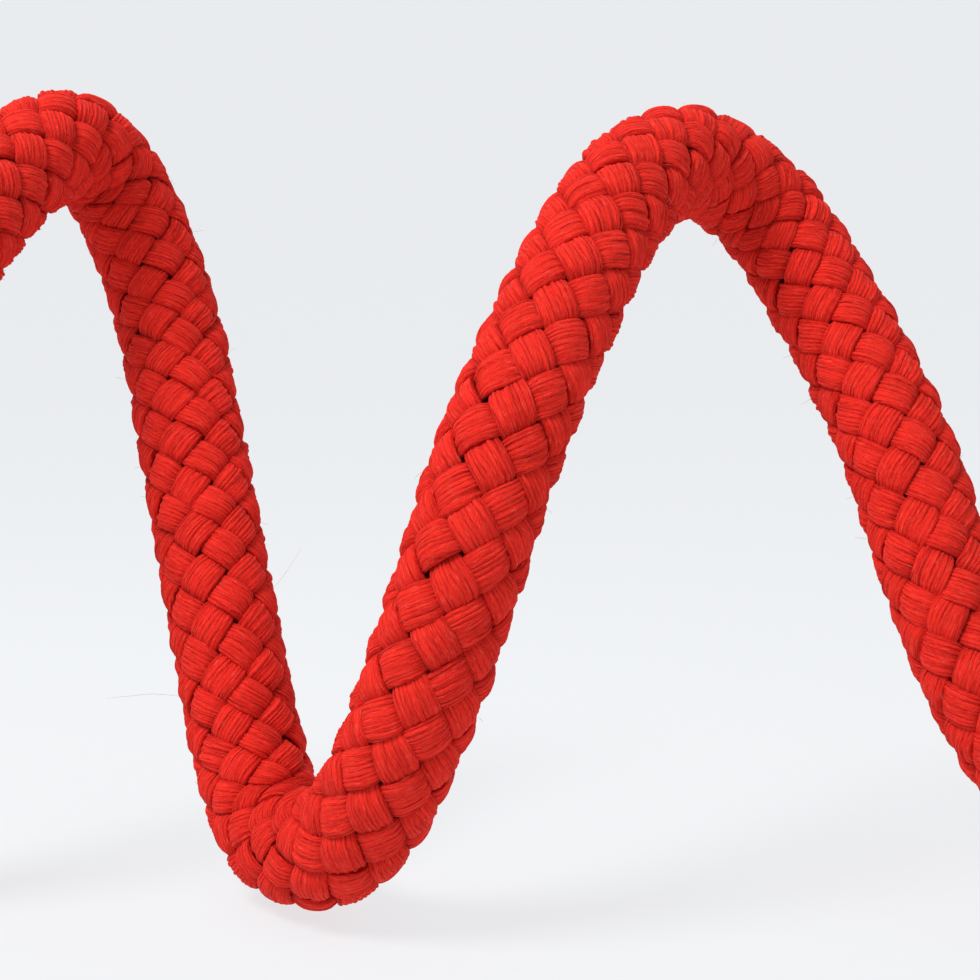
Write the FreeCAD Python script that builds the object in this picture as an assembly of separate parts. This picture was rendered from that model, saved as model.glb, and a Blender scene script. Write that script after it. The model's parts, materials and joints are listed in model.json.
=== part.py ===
"""Lead rope: a thick braided rope with a swivelling bolt snap, in millimetres.

The rope is folded through the snap's eye and clamped by two crimp bands. From there it stands
in a wave on its lower bends, and the rest of it is put away as a tied hank. The snap lies with
its eye and its nose on the ground.

It is modelled about the fold's axis, where the eye hangs in the rope, with the ground at z = 0
and +X along the rope. The whole is then moved so that the origin is under the middle of the
snap, its eye and the crimped fold.
"""
import FreeCAD, Part
import math
import os

V = FreeCAD.Vector
X, Y, Z = V(1, 0, 0), V(0, 1, 0), V(0, 0, 1)

# Rope
ROPE_D = 20.0
LEG_GAP = 0.3                 # between the two legs of the fold, inside the bands
TOUCH_GAP = 0.3               # between the rope and what it goes round
BANDS_START = 28.0            # from the fold's axis to the first crimp band
CUT_END_LENGTH = 16.0         # of the folded-back end, past the last band
WHIPPING_LENGTH = 8.0
WHIPPING_DEPTH = 0.8          # how far the thread sinks into the rope

# Crimp bands
BAND_WIDTH = 14.0
BAND_WALL = 1.6
BAND_PITCH = 22.0
BAND_COUNT = 2
ROPE_PAST_BANDS = 3.0         # from the last band to where the rope runs free
EXIT_RUN = 19.0               # straight on from there, in line with its leg

# Swivel eye: a ring with a stem
EYE_BORE_D = 25.0
EYE_WIRE_D = 5.5
STEM_D = 6.4
SHOULDER_D = 10.0
SHOULDER_LENGTH = 3.0
STEM_HEAD_D = 10.0
STEM_HEAD_LENGTH = 3.0
STEM_HEAD_ROUNDING = 1.2
RUNNING_FIT = 0.05            # radial clearance of what turns or slides
AXIAL_PLAY = 0.3
WASHER_D = 11.6
WASHER_T = 1.0
WASHER_CLEARANCE = 0.2        # radial, round the stem

# Snap body, measured along the snap from the eye's centre
COLLAR_D = 18.0
COLLAR_WALL = 5.0
WINDOW_LENGTH = 7.0
WINDOW_WIDTH = 12.4
TAPER_LENGTH = 5.0
BARREL_D = 12.4
BARREL_LENGTH = 22.0
BORE_FLOOR = 2.0              # from the taper's small end to the bore's floor
BOLT_D = 6.0
BOLT_TRAVEL = 12.0
SPRING_WIRE_D = 0.7
SPRING_COILS = 4
SPRING_CLEARANCE = 0.2        # radial, inside the bolt's diameter
BOLT_TIP_ROUNDING = 1.0
MOUTH_GAP = 14.0              # between the barrel's mouth and the nose
NOSE_SEAT_DEPTH = 2.5
BOLT_IN_NOSE = 1.5
HOOK_BAR_D = 8.4
HOOK_WIDTH = 22.0             # from the bolt's axis to the middle of the hook's back
HOOK_END_LENGTH = 21.0        # from the nose's face to the hook's far end, at its middle
HOOK_ROOT_BACK = 16.0         # from the barrel's mouth back to where the hook leaves it
HOOK_BEND_R = 12.0
HOOK_ROOT_OFFSET = 1.5        # of the hook's root from the bolt's axis
HOOK_SHOULDER_PAST = 2.0      # from the barrel's mouth on to the corner of the hook's back

# Thumb stud
STUD_PIN_D = 3.6
STUD_HEAD_D = 8.0
STUD_HEAD_T = 3.0
STUD_HEAD_ROUNDING = 1.2
STUD_RISE = 1.0               # between the barrel and the stud's head
STUD_FROM_REAR = 4.0          # from the bolt's rear face to the stud
SLOT_CLEARANCE = 0.3

# Free end
CAP_WALL = 1.4
CAP_LENGTH = 24.0
CAP_FLOOR = 2.0
CAP_ROUNDING = 2.5
CAP_LIP = 1.0                 # of the stub's side, left bare inside the cap's mouth

# Hank: two layers of the rope round a stadium, whose end bends are three ropes in radius
HANK_LENGTH = 300.0
HANK_BEND_R = 3.0 * ROPE_D
HANK_START = 391.0            # from the fold's axis to the hank's near side
HANK_FRONT_Y = -15.0          # the front run's middle
HANK_ROUNDING = 0.44          # of the rope's diameter, along the hank's edges
FREE_END_RUN = 60.0           # of the upper layer's last run, along the back
TIE_WIDTH = 16.0
TIE_T = 1.5
TIE_SHARES = (0.42, 0.80)     # where the ties are along the front run and the back run

OVERLAP = 1.0                 # of cutters past a face, and of pieces that are fused

# The free rope's route after its exit run: x from the fold's axis, y across, z from the ground.
ROUTE = [
    (105, 10.2, 13.5), (122, 10.4, 10), (140, 10.6, 12.5), (153, 10.6, 25.5),
    (159.5, 10, 46), (164, 8, 76), (168.5, 14, 100.5), (176, 31, 120), (185, 51, 133.5),
    (191.5, 66, 127), (201, 66, 102.5), (209, 50, 71.5), (216, 37, 43), (221, 31, 21.5),
    (226.5, 22, 9.5), (238.5, 6, 12), (248, -3, 28), (256.5, -6, 53), (264.5, -3, 79),
    (275.5, 9, 103.5), (285.5, 25, 121), (298, 43, 129), (313.5, 54, 121), (324, 49, 103),
    (334, 35, 79), (340, 25, 53.5), (348, 17.5, 32), (359.5, 12, 17), (375, 7, 10.4),
    (392, 3, 10), (412, -3, 10),
]

EYE_HEIGHT = EYE_BORE_D / 2 + EYE_WIRE_D
EYE_RING_R = (EYE_BORE_D + EYE_WIRE_D) / 2
FOLD_R = EYE_WIRE_D / 2 + TOUCH_GAP + ROPE_D / 2
LEG_Y = (ROPE_D + LEG_GAP) / 2
BANDS_END = BANDS_START + BAND_PITCH * (BAND_COUNT - 1) + BAND_WIDTH
EXIT_X = BANDS_END + ROPE_PAST_BANDS
SHOULDER_END = EYE_RING_R + SHOULDER_LENGTH
COLLAR_START = SHOULDER_END + AXIAL_PLAY
WINDOW_START = COLLAR_START + COLLAR_WALL
WINDOW_END = WINDOW_START + WINDOW_LENGTH
BARREL_START = WINDOW_END + TAPER_LENGTH
MOUTH = BARREL_START + BARREL_LENGTH
BORE_START = BARREL_START + BORE_FLOOR - TAPER_LENGTH
NOSE = MOUTH + MOUTH_GAP
HOOK_REACH = NOSE + HOOK_END_LENGTH
SPRING_SOLID = SPRING_WIRE_D * (SPRING_COILS + 1)
BOLT_REAR = BORE_START + SPRING_SOLID + BOLT_TRAVEL + AXIAL_PLAY
STUD_X = BOLT_REAR + STUD_FROM_REAR
TILT = math.asin((EYE_HEIGHT - HOOK_BAR_D / 2) / HOOK_REACH)


def cylinder(x0, x1, diameter):
    """A rod along the snap's own axis, from x0 to x1."""
    return Part.makeCylinder(diameter / 2, x1 - x0, V(x0, 0, 0), X)


def rounded_path(points):
    """A wire of straight runs joined by tangent arcs, as large as the runs allow, and the arcs' radii."""
    points = [V(*p) for p in points]
    edges, radii, start = [], [], points[0]
    for before, corner, after in zip(points, points[1:], points[2:]):
        run_in, run_out = corner - before, after - corner
        half_turn = run_in.getAngle(run_out) / 2
        cut = 0.45 * min(run_in.Length, run_out.Length)
        radius = cut / math.tan(half_turn)
        inward = V(run_in).normalize()
        outward = V(run_out).normalize()
        middle = corner + (outward - inward).normalize() * (radius / math.cos(half_turn) - radius)
        first, last = corner - inward * cut, corner + outward * cut
        edges.append(Part.LineSegment(start, first).toShape())
        edges.append(Part.Arc(first, middle, last).toShape())
        radii.append(radius)
        start = last
    edges.append(Part.LineSegment(start, points[-1]).toShape())
    return Part.Wire(edges), radii


def sweep_round(path, diameter):
    """A round solid along a wire."""
    first = path.OrderedEdges[0]
    start = first.valueAt(first.FirstParameter)
    section = Part.Wire(Part.makeCircle(diameter / 2, start, first.tangentAt(first.FirstParameter)))
    return path.makePipeShell([section], True, False)


def stadium(length, width, height, centre):
    """An upright slab with round ends: length along X, width along Y, standing on centre."""
    radius = width / 2
    half = length / 2 - radius
    corners = [V(-half, -radius, 0), V(half, -radius, 0), V(half, radius, 0), V(-half, radius, 0)]
    wire = Part.Wire([
        Part.LineSegment(corners[0], corners[1]).toShape(),
        Part.Arc(corners[1], V(half + radius, 0, 0), corners[2]).toShape(),
        Part.LineSegment(corners[2], corners[3]).toShape(),
        Part.Arc(corners[3], V(-half - radius, 0, 0), corners[0]).toShape(),
    ])
    slab = Part.Face(wire).extrude(Z * height)
    slab.translate(centre)
    return slab


def belt(width, height, wall, length, centre):
    """A band round a bundle of rope: its outside is width (Y) by height (Z), and it is length long in X."""
    outer = stadium(max(width, height), min(width, height), length, V(0, 0, 0))
    inner = stadium(max(width, height) - 2 * wall, min(width, height) - 2 * wall, length, V(0, 0, 0))
    ring = outer.cut(inner)
    if width > height:
        ring.rotate(V(0, 0, 0), Z, 90)
    ring.rotate(V(0, 0, 0), Y, 90)
    ring.translate(centre)
    return ring


def make_rope_eye():
    """The rope's folded end: round the eye's bar and back, both legs through the bands."""
    leg_angle = math.atan2(LEG_Y, BANDS_START)
    touch_angle = leg_angle + math.acos(FOLD_R / math.hypot(BANDS_START, LEG_Y))
    touch_x, touch_y = FOLD_R * math.cos(touch_angle), FOLD_R * math.sin(touch_angle)
    cut_end = BANDS_END + CUT_END_LENGTH

    def leg(end_x, side):
        wire, _ = rounded_path([(end_x, side * LEG_Y, EYE_HEIGHT), (BANDS_START, side * LEG_Y, EYE_HEIGHT),
                                (touch_x, side * touch_y, EYE_HEIGHT)])
        return wire.OrderedEdges

    fold = Part.Arc(V(touch_x, touch_y, EYE_HEIGHT), V(-FOLD_R, 0, EYE_HEIGHT),
                    V(touch_x, -touch_y, EYE_HEIGHT)).toShape()
    path = Part.Wire(Part.sortEdges(leg(EXIT_X, 1) + [fold] + leg(cut_end, -1))[0])
    return sweep_round(path, ROPE_D).cut(make_whipping())


def make_whipping():
    """Waxed thread wound round the folded-back end, flush with the rope."""
    end = BANDS_END + CUT_END_LENGTH - 3 * WHIPPING_DEPTH
    place = V(end - WHIPPING_LENGTH, -LEG_Y, EYE_HEIGHT)
    outer = Part.makeCylinder(ROPE_D / 2, WHIPPING_LENGTH, place, X)
    return outer.cut(Part.makeCylinder(ROPE_D / 2 - WHIPPING_DEPTH, WHIPPING_LENGTH, place, X))


def make_bands():
    """Flat steel bands squeezed round the two legs."""
    width = 2 * LEG_Y + ROPE_D + 2 * BAND_WALL
    height = ROPE_D + 2 * BAND_WALL
    return Part.makeCompound([
        belt(width, height, BAND_WALL, BAND_WIDTH, V(BANDS_START + i * BAND_PITCH, 0, EYE_HEIGHT))
        for i in range(BAND_COUNT)
    ])


def make_swivel_eye():
    """The ring, its shoulder, and the stem with the head that holds it in the collar."""
    ring = Part.makeTorus(EYE_RING_R, EYE_WIRE_D / 2, V(0, 0, 0), Y)
    shoulder = cylinder(EYE_RING_R, SHOULDER_END, SHOULDER_D)
    head_start = WINDOW_START + WASHER_T + AXIAL_PLAY
    stem = cylinder(SHOULDER_END - OVERLAP, head_start, STEM_D)
    head = cylinder(head_start, head_start + STEM_HEAD_LENGTH, STEM_HEAD_D)
    rim = [e for e in head.Edges if e.BoundBox.XMin > head_start + STEM_HEAD_LENGTH / 2]
    head = head.makeFillet(STEM_HEAD_ROUNDING, rim)
    return ring.fuse([shoulder, stem, head]).removeSplitter()


def make_washer():
    start = WINDOW_START + AXIAL_PLAY / 2
    hole = cylinder(start, start + WASHER_T, STEM_D + 2 * WASHER_CLEARANCE)
    return cylinder(start, start + WASHER_T, WASHER_D).cut(hole)


def make_snap_body():
    """Collar, barrel and hook in one casting, with the swivel's window, the bolt's bore and its slot."""
    collar = cylinder(COLLAR_START, WINDOW_END, COLLAR_D)
    taper = Part.makeCone(COLLAR_D / 2, BARREL_D / 2, TAPER_LENGTH, V(WINDOW_END, 0, 0), X)
    barrel = cylinder(BARREL_START, MOUTH, BARREL_D)
    end_r = HOOK_WIDTH / 2
    bend_x = HOOK_REACH - end_r
    root = V(MOUTH - HOOK_ROOT_BACK, HOOK_ROOT_OFFSET, 0)
    shoulder = V(MOUTH + HOOK_SHOULDER_PAST, HOOK_WIDTH, 0)
    neck = (shoulder - root).getAngle(X)
    cut = HOOK_BEND_R * math.tan(neck / 2)
    neck_in = shoulder - (shoulder - root).normalize() * cut
    neck_out = shoulder + X * cut
    centre = V(shoulder.x + cut, HOOK_WIDTH - HOOK_BEND_R, 0)
    half = neck / 2
    neck_middle = centre + V(-math.sin(half), math.cos(half), 0) * HOOK_BEND_R
    path = Part.Wire([
        Part.LineSegment(root, neck_in).toShape(),
        Part.Arc(neck_in, neck_middle, neck_out).toShape(),
        Part.LineSegment(neck_out, V(bend_x, HOOK_WIDTH, 0)).toShape(),
        Part.Arc(V(bend_x, HOOK_WIDTH, 0), V(HOOK_REACH, end_r, 0), V(bend_x, 0, 0)).toShape(),
        Part.LineSegment(V(bend_x, 0, 0), V(NOSE, 0, 0)).toShape(),
    ])
    hook = sweep_round(path, HOOK_BAR_D)
    body = collar.fuse([taper, barrel, hook])
    window = Part.makeBox(WINDOW_LENGTH, WINDOW_WIDTH, COLLAR_D + 2 * OVERLAP,
                          V(WINDOW_START, -WINDOW_WIDTH / 2, -COLLAR_D / 2 - OVERLAP))
    bore_d = BOLT_D + 2 * RUNNING_FIT
    slot_width = STUD_PIN_D + 2 * SLOT_CLEARANCE
    slot_start = STUD_X - BOLT_TRAVEL
    slot = Part.makeBox(BOLT_TRAVEL, BARREL_D, slot_width, V(slot_start, -BARREL_D, -slot_width / 2))
    slot_ends = [Part.makeCylinder(slot_width / 2, BARREL_D, V(x, -BARREL_D, 0), Y)
                 for x in (slot_start, STUD_X)]
    cuts = [window, cylinder(COLLAR_START - OVERLAP, WINDOW_START + OVERLAP, STEM_D + 2 * RUNNING_FIT),
            cylinder(BORE_START, MOUTH + OVERLAP, bore_d), slot,
            cylinder(NOSE - OVERLAP, NOSE + NOSE_SEAT_DEPTH, bore_d)]
    return body.cut(cuts + slot_ends).removeSplitter()


def make_bolt():
    """The sliding bolt, drilled for its stud."""
    bolt = cylinder(BOLT_REAR, NOSE + BOLT_IN_NOSE, BOLT_D)
    tip = [e for e in bolt.Edges if e.BoundBox.XMin > NOSE]
    return bolt.makeFillet(BOLT_TIP_ROUNDING, tip).cut(make_stud())


def make_stud():
    """The thumb stud, pressed into the bolt through the barrel's slot."""
    pin_end = BARREL_D / 2 + STUD_RISE
    pin = Part.makeCylinder(STUD_PIN_D / 2, pin_end + OVERLAP, V(STUD_X, OVERLAP, 0), Y * -1)
    head = Part.makeCylinder(STUD_HEAD_D / 2, STUD_HEAD_T, V(STUD_X, -pin_end, 0), Y * -1)
    rim = [e for e in head.Edges if e.BoundBox.YMax < -pin_end - STUD_HEAD_T / 2]
    return pin.fuse(head.makeFillet(STUD_HEAD_ROUNDING, rim)).removeSplitter()


def make_spring():
    """The coil spring behind the bolt, at its length with the bolt home."""
    length = BOLT_REAR - BORE_START - SPRING_WIRE_D
    pitch = length / SPRING_COILS
    coil_r = (BOLT_D - SPRING_WIRE_D) / 2 - SPRING_CLEARANCE
    helix = Part.makeHelix(pitch, length, coil_r)
    section = Part.Wire(Part.makeCircle(SPRING_WIRE_D / 2, V(coil_r, 0, 0), Y))
    coil = Part.Wire(helix).makePipeShell([section], True, True)
    coil.rotate(V(0, 0, 0), Y, 90)
    coil.translate(V(BORE_START + SPRING_WIRE_D / 2, 0, 0))
    return coil


def lay_down(shape):
    """Turns the snap's own frame so that it points to -X, its nose tipped down to the ground."""
    shape.rotate(V(0, 0, 0), Z, 180)
    shape.rotate(V(0, 0, 0), Y, -math.degrees(TILT))
    shape.translate(V(-EYE_RING_R, 0, EYE_HEIGHT))
    return shape


def hank_run_x():
    """The ends of the hank's straight runs, near and far."""
    near = HANK_START + HANK_BEND_R + ROPE_D / 2
    return near, HANK_START + HANK_LENGTH - HANK_BEND_R - ROPE_D / 2


def make_ties():
    """Straps drawn tight round the front run and the back run, flush with the rope."""
    near, far = hank_run_x()
    places = zip(TIE_SHARES, (HANK_FRONT_Y, HANK_FRONT_Y + 2 * HANK_BEND_R))
    return [belt(ROPE_D, 2 * ROPE_D, TIE_T, TIE_WIDTH,
                 V(near + share * (far - near) - TIE_WIDTH / 2, y, ROPE_D))
            for share, y in places]


def free_end():
    """Where the upper layer's last run ends, and the height of the capped end's axis."""
    return hank_run_x()[1] - FREE_END_RUN, ROPE_D + ROPE_D / 2 + CAP_WALL + TOUCH_GAP


def make_hank():
    """The hank's outer shape: a full lower layer, an upper layer that stops short, and the rope's end."""
    centre = V(HANK_START + HANK_LENGTH / 2, HANK_FRONT_Y + HANK_BEND_R, 0)
    width = 2 * HANK_BEND_R + ROPE_D

    def layer(z, round_z):
        hole = stadium(HANK_LENGTH - 2 * ROPE_D, width - 2 * ROPE_D, ROPE_D, centre + Z * z)
        ring = stadium(HANK_LENGTH, width, ROPE_D, centre + Z * z).cut(hole)
        rims = [e for e in ring.Edges if e.BoundBox.ZLength < 1e-3 and abs(e.BoundBox.ZMin - round_z) < 1e-3]
        return ring.makeFillet(HANK_ROUNDING * ROPE_D, rims)

    end_x, end_z = free_end()
    no_rope = Part.makeBox(end_x - HANK_START, width, 2 * ROPE_D,
                           V(HANK_START - OVERLAP, centre.y, ROPE_D))
    stub_length = CAP_LENGTH - CAP_FLOOR
    stub = Part.makeCylinder(ROPE_D / 2, stub_length + OVERLAP,
                             V(end_x - stub_length, centre.y + HANK_BEND_R, end_z), X)
    upper = layer(ROPE_D, 2 * ROPE_D).cut(no_rope)
    hank = layer(0, 0).fuse([upper, stub]).removeSplitter()
    return hank.cut(make_ties())


def make_end_cap():
    """A drawn cap crimped on the rope's free end."""
    end_x, end_z = free_end()
    place = V(end_x - CAP_LENGTH, HANK_FRONT_Y + 2 * HANK_BEND_R, end_z)
    cap = Part.makeCylinder(ROPE_D / 2 + CAP_WALL, CAP_LENGTH - CAP_LIP, place, X)
    cap = cap.makeFillet(CAP_ROUNDING, [e for e in cap.Edges if e.BoundBox.XMax < place.x + CAP_LIP])
    bore = Part.makeCylinder(ROPE_D / 2, CAP_LENGTH, place + X * CAP_FLOOR, X)
    return cap.cut(bore)


def make_rope(hank):
    """The rope from the bands through its standing wave to the hank."""
    exit_run = [(EXIT_X, LEG_Y, EYE_HEIGHT), (EXIT_X + EXIT_RUN, LEG_Y, EYE_HEIGHT)]
    path, radii = rounded_path(exit_run + ROUTE)
    rope = sweep_round(path, ROPE_D)
    expected = math.pi * ROPE_D ** 2 / 4 * path.Length
    print("rope radii", [round(r, 1) for r in radii])
    print("rope length", round(path.Length, 1), "volume share", round(rope.Volume / expected, 4))
    return rope.cut(hank)


def main():
    snap = {
        "swivel_eye": make_swivel_eye(),
        "swivel_washer": make_washer(),
        "snap_body": make_snap_body(),
        "sliding_bolt": make_bolt(),
        "thumb_stud": make_stud(),
        "bolt_spring": make_spring(),
    }
    nodes = {name: lay_down(shape) for name, shape in snap.items()}
    nodes["rope_eye"] = make_rope_eye()
    nodes["crimp_bands"] = make_bands()
    nodes["cut_end_whipping"] = make_whipping()
    box = Part.makeCompound(list(nodes.values())).BoundBox
    middle = V(-(box.XMin + box.XMax) / 2, -(box.YMin + box.YMax) / 2, 0)
    nodes["rope_hank"] = make_hank()
    nodes["rope_wave"] = make_rope(nodes["rope_hank"])
    nodes["hank_ties"] = Part.makeCompound(make_ties())
    nodes["end_cap"] = make_end_cap()

    os.makedirs("parts", exist_ok=True)
    for name, shape in nodes.items():
        shape.translate(middle)
        shape.exportStep(f"parts/{name}.step")
        print(name, "solids", len(shape.Solids), "valid", shape.isValid(), "volume", round(shape.Volume, 1))
    nose_way = V(-math.cos(TILT), 0, -math.sin(TILT))
    eye = V(-EYE_RING_R, 0, EYE_HEIGHT)
    places = {"fold axis": V(0, 0, EYE_HEIGHT), "eye centre": eye,
              "collar": eye + nose_way * WINDOW_START,
              "hook seat": eye + nose_way * (HOOK_REACH - HOOK_BAR_D / 2)
              - Y * (HOOK_WIDTH / 2), "bolt rear": eye + nose_way * BOLT_REAR,
              "spring floor": eye + nose_way * BORE_START}
    for name, place in places.items():
        place = place + middle
        print(name, [round(c, 2) for c in place])
    print("way to the nose", [round(c, 5) for c in nose_way])


main()
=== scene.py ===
"""The looks of the lead rope: its braid, eye, hank, straps and metals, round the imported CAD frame."""
import bpy
import json
import math
import numpy as np
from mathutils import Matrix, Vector


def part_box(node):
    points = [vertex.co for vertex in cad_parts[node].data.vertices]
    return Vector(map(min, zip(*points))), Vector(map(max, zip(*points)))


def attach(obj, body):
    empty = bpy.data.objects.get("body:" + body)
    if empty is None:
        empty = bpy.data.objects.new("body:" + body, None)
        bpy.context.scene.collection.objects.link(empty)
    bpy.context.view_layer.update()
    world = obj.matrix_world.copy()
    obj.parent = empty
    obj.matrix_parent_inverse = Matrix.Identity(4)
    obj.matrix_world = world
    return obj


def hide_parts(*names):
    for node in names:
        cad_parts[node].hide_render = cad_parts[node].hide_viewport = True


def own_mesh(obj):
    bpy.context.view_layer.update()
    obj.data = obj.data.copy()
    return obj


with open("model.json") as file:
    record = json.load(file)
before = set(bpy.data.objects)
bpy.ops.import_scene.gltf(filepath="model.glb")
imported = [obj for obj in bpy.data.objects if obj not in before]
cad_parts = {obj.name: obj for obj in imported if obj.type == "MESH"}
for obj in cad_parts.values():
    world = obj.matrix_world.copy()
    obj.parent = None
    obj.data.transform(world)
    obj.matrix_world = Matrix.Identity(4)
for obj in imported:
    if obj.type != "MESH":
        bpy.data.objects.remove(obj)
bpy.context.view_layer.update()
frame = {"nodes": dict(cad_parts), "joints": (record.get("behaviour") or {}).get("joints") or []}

JOINTS = {joint["name"]: joint for joint in frame["joints"]}
PIVOT = JOINTS["eye_swing"]["pos_m"]
MM = 0.001

# The rope and its fold, sized as in the CAD model. Distances along X are from the fold's axis.
ROPE_D = 20 * MM
LEG_GAP = 0.3 * MM            # between the fold's two legs
TOUCH_GAP = 0.3 * MM          # between the rope and the eye's bar
EYE_BORE_D = 25 * MM
EYE_WIRE_D = 5.5 * MM
BANDS_START = 28 * MM
BANDS_END = 64 * MM
SEAM = BANDS_END - 7 * MM     # where the two braids meet, inside the last band
CUT_END = BANDS_END + 16 * MM
WHIPPING_MIDDLE = CUT_END - 6.4 * MM
WHIPPING_TURNS = 9
THREAD_R = 0.50 * MM
LEG_Y = (ROPE_D + LEG_GAP) / 2
EYE_HEIGHT = EYE_BORE_D / 2 + EYE_WIRE_D
FOLD_R = EYE_WIRE_D / 2 + TOUCH_GAP + ROPE_D / 2

# The hank, two layers round a stadium, and the cap on the rope's free end
HANK_START = 391 * MM
HANK_LENGTH = 300 * MM
HANK_BEND_R = 3 * ROPE_D
HANK_NEAR = HANK_START + ROPE_D / 2 + HANK_BEND_R
HANK_FAR = HANK_START + HANK_LENGTH - ROPE_D / 2 - HANK_BEND_R
HANK_FRONT_Y = -15 * MM
HANK_BACK_Y = HANK_FRONT_Y + 2 * HANK_BEND_R
HANK_RISE = 132 * MM          # along the rope, from the lower layer up to the upper one
HANK_POINTS = 18              # for each turn
HANK_UNEVEN = 0.012           # of a bend's radius, in and out
HANK_SLACK = 0.035            # of a bend's radius, outwards
FREE_END_X = HANK_FAR - 60 * MM
CAP_LENGTH = 24 * MM
CAP_WALL = 1.4 * MM
CAP_NOSE = 3.2 * MM
CAP_LIP = 0.95 * MM
CAP_CRIMPS = (10.0, 16.0)     # millimetres from the closed end
CAP_AXIS_Z = 1.5 * ROPE_D + CAP_WALL + 0.3 * MM
CAP_SQUEEZE = 0.05            # of the rope's thickness, in the cap
TIE_SHARES = (0.42, 0.80)     # where the ties are along the front run and the back run
TIE_WIDTH = 16 * MM
TIE_SQUEEZE = 0.15            # of the rope's thickness, under a tie
STRAP_T = 1.5 * MM
STRAP_TURNS = 1.22
STRAP_END = 7 * MM            # along which a strap climbs onto its own start, and its end stands off

# Braid: twelve strands, six each way, one over and one under
STRANDS_EACH_WAY = 6
LEAD = 2.6 * ROPE_D           # along the rope for a strand's full turn
STRAND_MIDDLE = 0.405 * ROPE_D
STRAND_WAVE = 0.040 * ROPE_D
STRAND_TOP = 0.046 * ROPE_D
STRAND_BACK = 0.035 * ROPE_D
STRAND_TURN_D = 0.88 * ROPE_D
STRAND_FILL = 0.95            # of the room between neighbours
STRAND_WIDTH = 0.33 * ROPE_D
YARNS = 9                     # side by side in a strand
YARN_RELIEF = 0.0065 * ROPE_D
YARN_POINTS = 4               # across each yarn
BACK_POINTS = 4
CORE_R = 0.352 * ROPE_D
ROPE_PHASE = 0.0
FOLD_PHASE = 0.3
SEEN_LENGTH = 0.76            # metres of the free rope, which get their rows closer up
ROWS_SEEN = 8                 # for each crossing
ROWS_UNSEEN = 5
ROWS_FOLD = 11
FIBRE_COUNT = 520
FIBRE_R = 0.022 * MM
FIBRE_ROOT = 0.485 * ROPE_D   # from the rope's middle

# Metal pieces
CAST_VOXEL = 0.32 * MM
EDGE_BEVEL = 0.35 * MM

# Camera, light and board
LENS = 64.29                  # millimetres, like the sensor's width
SENSOR_WIDTH = 36.0
CAMERA_AT = (263 * MM, -272 * MM, 90.6 * MM)
CAMERA_DOWN = 4               # degrees below level
SKY_STRENGTH = 0.60
KEY_AT = (-90 * MM, -280 * MM, 670 * MM)
KEY_AIM = (263 * MM, 20 * MM, 70 * MM)
KEY_SIZE = 0.30               # metres
KEY_POWER = 4.6               # watts
BOARD_GLOW = 0.84             # of the board's colour, lit from within
BOARD_SHADE = 0.82            # how much less it answers to the lights
BOARD_SIDES = (-4.0, 4.6)     # metres, like the board's other sizes
BOARD_FRONT = -3.0
COVE_START = 1.6
COVE_R = 1.2
WALL_TOP = 4.0

# Colours
# YARN_DARK also serves as painted shade in the yarn's crevices and grooves
YARN_DARK, YARN_BRIGHT = (0.330, 0.0016, 0.0014, 1), (0.960, 0.0330, 0.0210, 1)
# Painted highlight: pale pink streaks that stand for light glinting off single fibres
YARN_GLINT = (1.0, 0.170, 0.120, 1)
YARN_SHEEN = (1.0, 0.30, 0.24, 1)
# Painted shade: the core is dark red to stand for the shade in the holes between strands
CORE_SHADE_DARK, CORE_SHADE_BRIGHT = (0.16, 0.0012, 0.0012, 1), (0.36, 0.004, 0.004, 1)
FIBRE_DARK, FIBRE_BRIGHT = (0.45, 0.02, 0.02, 1), (0.80, 0.16, 0.14, 1)
MELT_DARK, MELT_BRIGHT = (0.16, 0.004, 0.004, 1), (0.42, 0.010, 0.008, 1)
STRAP_DARK, STRAP_BRIGHT = (0.008, 0.008, 0.009, 1), (0.040, 0.040, 0.043, 1)
THREAD_DARK, THREAD_BRIGHT = (0.012, 0.011, 0.011, 1), (0.055, 0.050, 0.048, 1)
NICKEL = (0.80, 0.775, 0.73, 1)
ZINC = (0.66, 0.665, 0.67, 1)
BOARD_DARK, BOARD_BRIGHT = (0.838, 0.856, 0.876, 1), (0.850, 0.868, 0.888, 1)
BLACK = (0, 0, 0, 1)

# The free rope's route: x from the fold's axis, y across from it, z from the ground, in millimetres.
ROUTE = [
    (86, 10.15, 18), (105, 10.2, 13.5), (122, 10.4, 10), (140, 10.6, 12.5), (153, 10.6, 25.5),
    (159.5, 10, 46), (164, 8, 76), (168.5, 14, 100.5), (176, 31, 120), (185, 51, 133.5),
    (191.5, 66, 127), (201, 66, 102.5), (209, 50, 71.5), (216, 37, 43), (221, 31, 21.5),
    (226.5, 22, 9.5), (238.5, 6, 12), (248, -3, 28), (256.5, -6, 53), (264.5, -3, 79),
    (275.5, 9, 103.5), (285.5, 25, 121), (298, 43, 129), (313.5, 54, 121), (324, 49, 103),
    (334, 35, 79), (340, 25, 53.5), (348, 17.5, 32), (359.5, 12, 17), (375, 7, 10.4),
    (392, 3, 10), (412, -3, 10), (436, -11, 10),
]


def place(x, y, z):
    """A point given from the fold's axis and the ground, in the shared frame."""
    return (PIVOT[0] + x, PIVOT[1] + y, z)


# ---------------------------------------------------------------- camera

def make_camera():
    data = bpy.data.cameras.new("camera")
    data.lens, data.sensor_width = LENS, SENSOR_WIDTH
    data.clip_start, data.clip_end = 0.01, 50
    camera = bpy.data.objects.new("camera", data)
    camera.location = place(*CAMERA_AT)
    camera.rotation_euler = (math.radians(90 - CAMERA_DOWN), 0, 0)
    bpy.context.scene.collection.objects.link(camera)
    bpy.context.scene.camera = camera


# ---------------------------------------------------------------- lines

def smooth_step(x):
    """0 up to 0, 1 from 1 on, and a smooth rise between."""
    x = np.clip(x, 0, 1)
    return x * x * (3 - 2 * x)


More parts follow.
